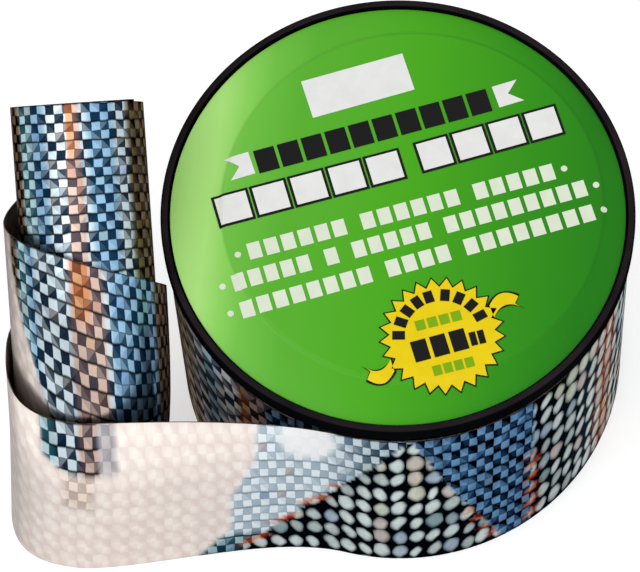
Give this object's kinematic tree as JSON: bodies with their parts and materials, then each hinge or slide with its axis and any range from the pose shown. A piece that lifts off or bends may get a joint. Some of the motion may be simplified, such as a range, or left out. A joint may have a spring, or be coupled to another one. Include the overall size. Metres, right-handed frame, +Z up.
{
  "type": "bird scare tape roll",
  "caption": "Spool of holographic reflective ribbon for scaring birds, standing on one flange, with its outer turn loose and its end curled up into a leaning ringlet.",
  "frame": {"origin": "centre of the rear flange's outer face, on the spool's axis, where the spool stands", "axes": "+Z up along the spool's axis towards the printed label; -X towards the curled end of the ribbon; -Y towards the side where the ribbon leaves the spool"},
  "size_m": [0.1015, 0.0725, 0.0762],
  "materials": {
    "black_plastic": "satin moulded black",
    "core_board": "plain brown board",
    "label_print": "glossy green print",
    "wound_foil": "metallised holographic film with small square facets",
    "loose_foil": "metallised holographic film with small square facets"
  },
  "bodies": {
    "spool": {"rear_flange": "black_plastic", "front_flange": "black_plastic", "core_tube": "core_board", "tape_winding": "wound_foil", "front_label": "label_print"},
    "loose_tape": {"tape_loose_end": "loose_foil"}
  },
  "joints": [
    {"name": "tape_unwind", "type": "hinge", "parent": "spool", "child": "loose_tape", "pos_m": [0, 0, 0], "axis": [0, 0, 1], "continuous": true}
  ]
}
